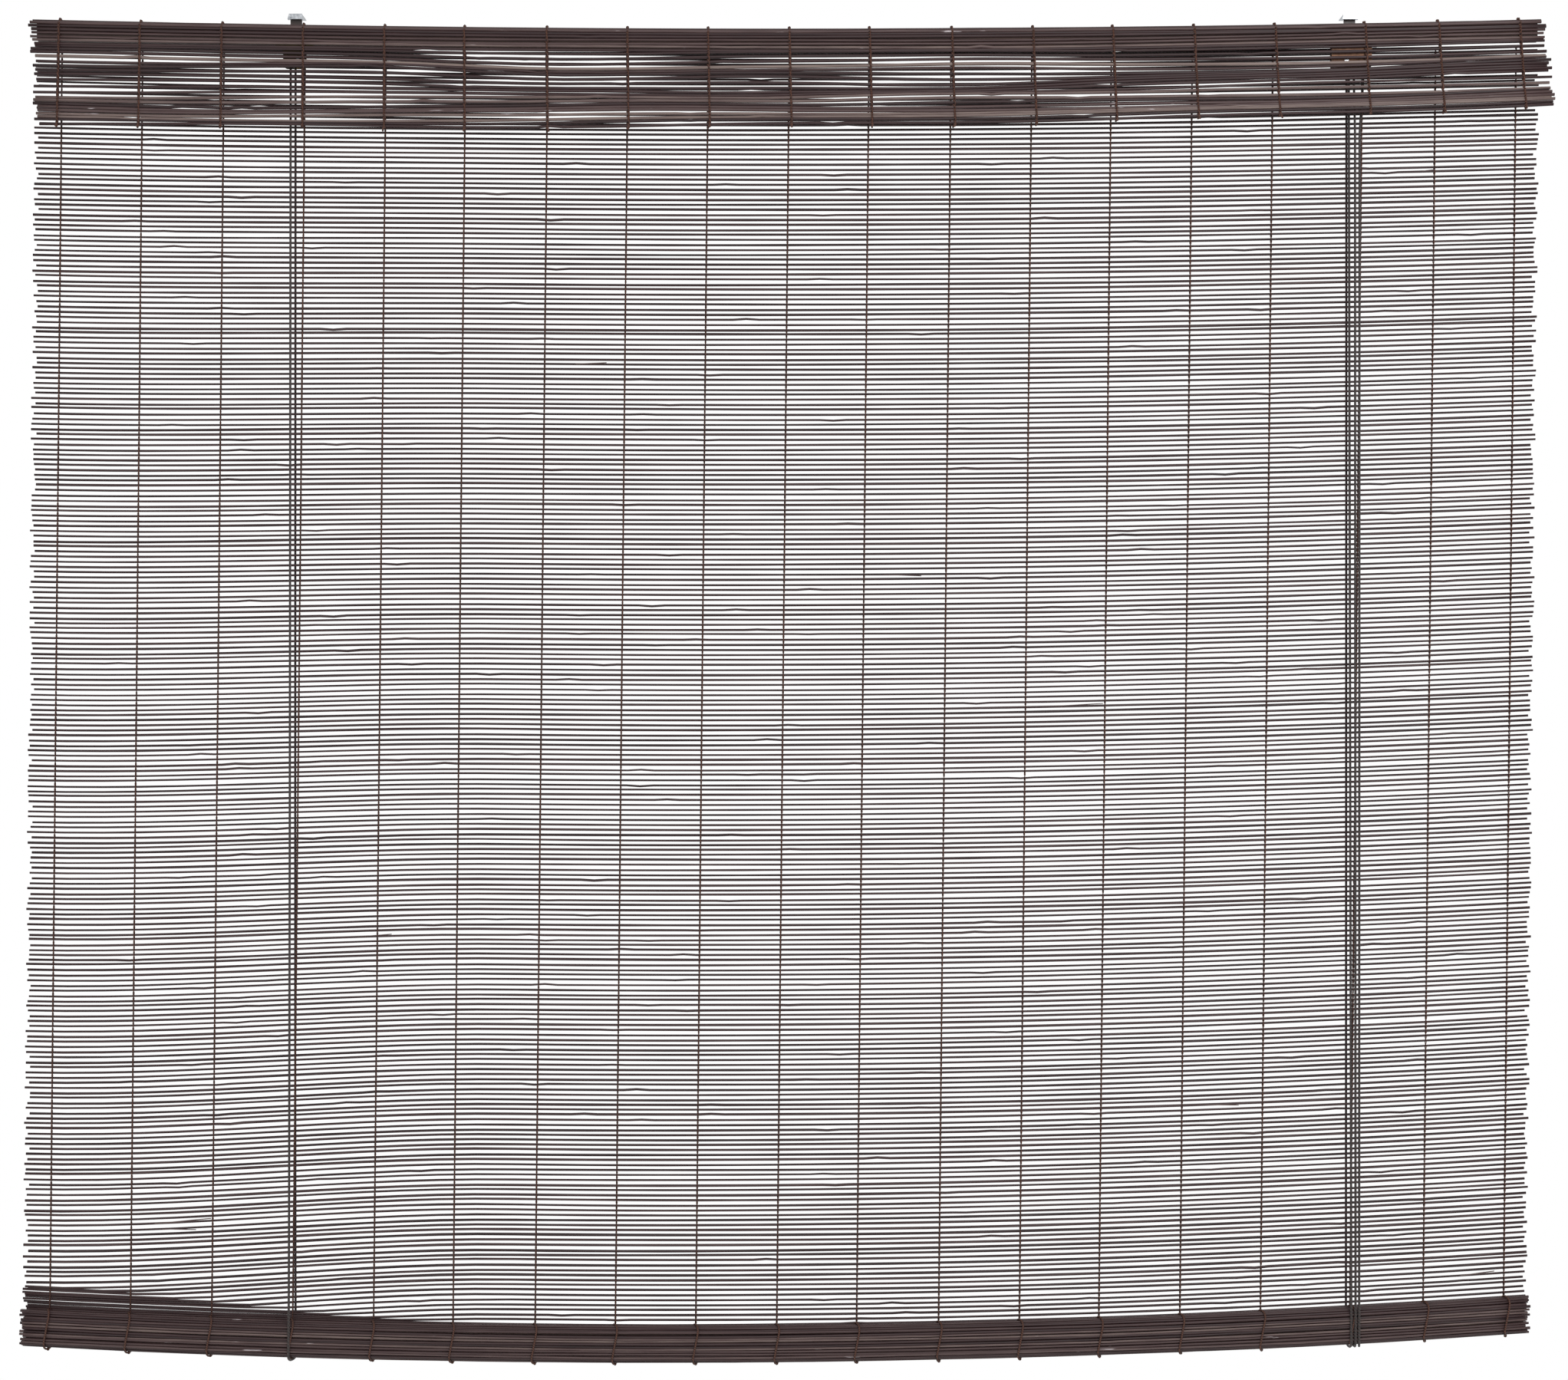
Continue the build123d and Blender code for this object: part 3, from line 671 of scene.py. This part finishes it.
def add_threads(name, runs, radius, closed=False):
    """A mesh object of thin threads, each through its own places; the longest have four sides."""
    curve = bpy.data.curves.new(name, "CURVE")
    curve.dimensions = "3D"
    curve.bevel_depth = radius
    curve.bevel_resolution = 0 if len(runs[0]) > many_points else 1
    curve.use_fill_caps = True
    for run in runs:
        spline = curve.splines.new("POLY")
        spline.points.add(len(run) - 1)
        for point, place in zip(spline.points, run):
            point.co = (*place, 1.0)
        spline.use_cyclic_u = closed
    line = bpy.data.objects.new(name + "_line", curve)
    bpy.context.collection.objects.link(line)
    piece = as_mesh(line, name)
    piece.data.materials.clear()
    piece.data.materials.append(cotton)
    return piece


def tie_knots(piece, places):
    """Adds a small tight knot to the threads at each place."""
    made = bmesh.new()
    made.from_mesh(piece.data)
    for place in places:
        squeezed = Matrix.Diagonal((1.0, knot_flat, draw.uniform(*knot_heights), 1.0))
        moved = Matrix.Translation(place) @ squeezed
        bmesh.ops.create_icosphere(made, subdivisions=2, radius=knot_r, matrix=moved)
    made.to_mesh(piece.data)
    made.free()


def weave(stops, radius, thread_r):
    """The two threads of a warp past each stop: a stick's middle and its outward direction."""
    cross_over = cross_share * thread_r
    pair = ([], [])
    for number, ((x, y, z), (out_y, out_z)) in enumerate(stops):
        swap = 1 if number % 2 else -1
        for strand, side in zip(pair, (swap, -swap)):
            off = side * (radius + thread_gap + thread_r)
            strand.append((x + side * cross_over / 2, y + out_y * off, z + out_z * off))
            if number + 1 < len(stops):
                (nx, ny, nz), _ = stops[number + 1]
                strand.append(((x + nx) / 2 + side * cross_over, (y + ny) / 2, (z + nz) / 2))
    return pair


sheet_runs, valance_runs, top_knots, foot_knots = [], [], [], []
for x in warps:
    stops = []
    for number, stick in enumerate(sheet_sticks):
        px = x + hem_lean * number / (sheet_count - 1)
        y, z = sheet_place(number, px)
        stops.append(((px, y, z + stick.drift(px)), (-1, 0)))
    sheet_runs.extend(weave(stops, stick_r, sheet_thread_r))

    stops = []
    for number, stick in enumerate(wrap_sticks):
        y, z = wrap_place(number, x)
        out = (1, 0) if number < back_rows else (0, 1)
        stops.append(((x, y, z + stick.drift(x)), out))
    for number, stick in enumerate(valance_sticks):
        px = x + front_thread_lean * (x + half_mat) / half_mat * number / (valance_rows - 1)
        y, z = valance_place(number, px)
        stops.append(((px, y, z + stick.drift(px)), (-1, 0)))
    (_, _, top_z), _ = stops[back_rows + 1]
    top_knots.append((x, (mat_y + valance_y) / 2, top_z + front_stick_r + front_thread_r))
    (foot_x, foot_y, foot_z), _ = stops[-1]
    foot_knots.append((foot_x, foot_y - front_stick_r, foot_z - front_stick_r))
    valance_runs.extend(weave(stops, front_stick_r, front_thread_r))
    for strand in valance_runs[-2:]:
        tx, ty, tz = strand[-1]
        aside = draw.uniform(-tail_stray, tail_stray)
        strand.append((tx + aside, ty - tail_out, tz - draw.uniform(*tail_lengths)))

sheet_threads = add_threads("sheet_threads_shown", sheet_runs, sheet_thread_r)
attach(sheet_threads, "head")
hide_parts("sheet_threads")
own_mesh(sheet_threads)
valance_threads = add_threads("valance_threads_shown", valance_runs, front_thread_r)
tie_knots(valance_threads, top_knots + foot_knots)
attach(valance_threads, "head")
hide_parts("valance_threads")

# Hem threads: the same brown cotton. Each warp ends in a slanted turn round the hem, knotted at
# the bottom edge, so that the sticks stay wound round the lath.
loop_r = ring_radii[1] + hem_stick_r + thread_gap + front_thread_r
loop_steps = 8
loop_slant = 0.009
hem_runs = []
for x in warps:
    px = x + hem_lean
    z = hem_z + bow(px, hem_sag, hem_tilt, hem_lean)
    run = []
    for half in (0, 1):
        for step in range(loop_steps + 1):
            turn = math.pi * (step / loop_steps + half)
            middle = lath_straight / 2 if half == 0 else -lath_straight / 2
            rise = middle + loop_r * math.sin(turn)
            slant = -loop_slant * math.cos(turn) * rise / (lath_straight + 2 * loop_r)
            run.append((px + slant, hem_y + loop_r * math.cos(turn), z + rise))
    hem_runs.append(run)
hem_threads = add_threads("hem_threads_shown", hem_runs, front_thread_r, closed=True)
hem_knots = [min(run, key=lambda place: place[2]) for run in hem_runs]
tie_knots(hem_threads, hem_knots)
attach(hem_threads, "hem")
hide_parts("hem_threads")

# Batten and lath: planed softwood, stained dark brown, with 2 mm grain along their length. The
# batten is screwed to the hangers, and the lath is held by the mat wound round it.
stained_pine, tree, shader, coords = new_material("stained_pine")
grain_width = 0.002
along_grain, across_grain = 6, spot_share / grain_width
grain_map = node(tree, "ShaderNodeMapping", [("Vector", coords, "Object")])
grain_map.inputs["Scale"].default_value = (along_grain, across_grain, across_grain)
grain = node(tree, "ShaderNodeTexNoise", [("Vector", grain_map, 0)], Scale=1.0, Detail=4.0, Distortion=0.6)
stain = ramp(tree, grain, [(0.3, "#2a1c16"), (0.6, "#463029"), (0.8, "#5a4136")])
tree.links.new(stain.outputs[0], shader.inputs["Base Color"])
grain_bump = node(tree, "ShaderNodeBump", [("Height", grain, "Fac")], Strength=0.3, Distance=0.0003)
tree.links.new(grain_bump.outputs[0], shader.inputs["Normal"])
shader.inputs["Roughness"].default_value = 0.6
for name in ("head_batten", "bottom_lath"):
    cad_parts[name].data.materials[0] = stained_pine


# Clips, hangers and pulley frames: pressed steel, each plated or painted in its own way. The sheaves
# are turned brass, and screws, axles, eyes and staples are plain steel wire and rod. The hangers
# hang on the ceiling clips, and screws, eyes and staples are driven into the batten.
def metal(name, dark, light, metallic, roughness, spot):
    """A plated or painted sheet metal whose colour and gloss vary in spots of the given size."""
    material, tree, shader, coords = new_material(name)
    spots = node(
        tree,
        "ShaderNodeTexNoise",
        [("Vector", coords, "Object")],
        Scale=spot_share / spot,
        Detail=5.0,
        Roughness=0.65,
    )
    colour = ramp(tree, spots, [(0.3, dark), (0.7, light)])
    tree.links.new(colour.outputs[0], shader.inputs["Base Color"])
    dull = node(tree, "ShaderNodeMapRange", [("Value", spots, "Fac")])
    dull.inputs["To Min"].default_value = roughness * glossier
    dull.inputs["To Max"].default_value = roughness * duller
    tree.links.new(dull.outputs[0], shader.inputs["Roughness"])
    dents = node(tree, "ShaderNodeBump", [("Height", spots, "Fac")], Strength=0.2, Distance=0.0002)
    tree.links.new(dents.outputs[0], shader.inputs["Normal"])
    shader.inputs["Metallic"].default_value = metallic
    return material


glossier, duller = 0.8, 1.25
metals = {
    metal("bright_zinc_plate", "#7e8287", "#c9ccd0", 1.0, 0.35, 0.002): [
        "left_ceiling_clip",
        "right_ceiling_clip",
    ],
    metal("brown_enamel", "#1d1210", "#33221e", 0.0, 0.38, 0.003): ["left_hanger", "right_hanger"],
    metal("aged_brass_plate", "#2b2718", "#4f4831", 1.0, 0.55, 0.003): ["single_pulley_frame"],
    metal("copper_plate", "#4a3428", "#80604d", 0.80, 0.50, 0.003): ["double_pulley_frame"],
    metal("turned_brass", "#9a7b35", "#d9b765", 1.0, 0.28, 0.002): [
        "single_pulley_sheave",
        "double_pulley_front_sheave",
        "double_pulley_back_sheave",
    ],
    metal("plain_steel_wire", "#8b8d90", "#c9cbce", 1.0, 0.30, 0.001): [
        "hanger_screws",
        "single_pulley_axle",
        "single_pulley_screws",
        "double_pulley_axles",
        "double_pulley_screws",
        "mat_staples",
        "left_screw_eye",
        "right_screw_eye",
    ],
}
for material, names in metals.items():
    for name in names:
        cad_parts[name].data.materials[0] = material
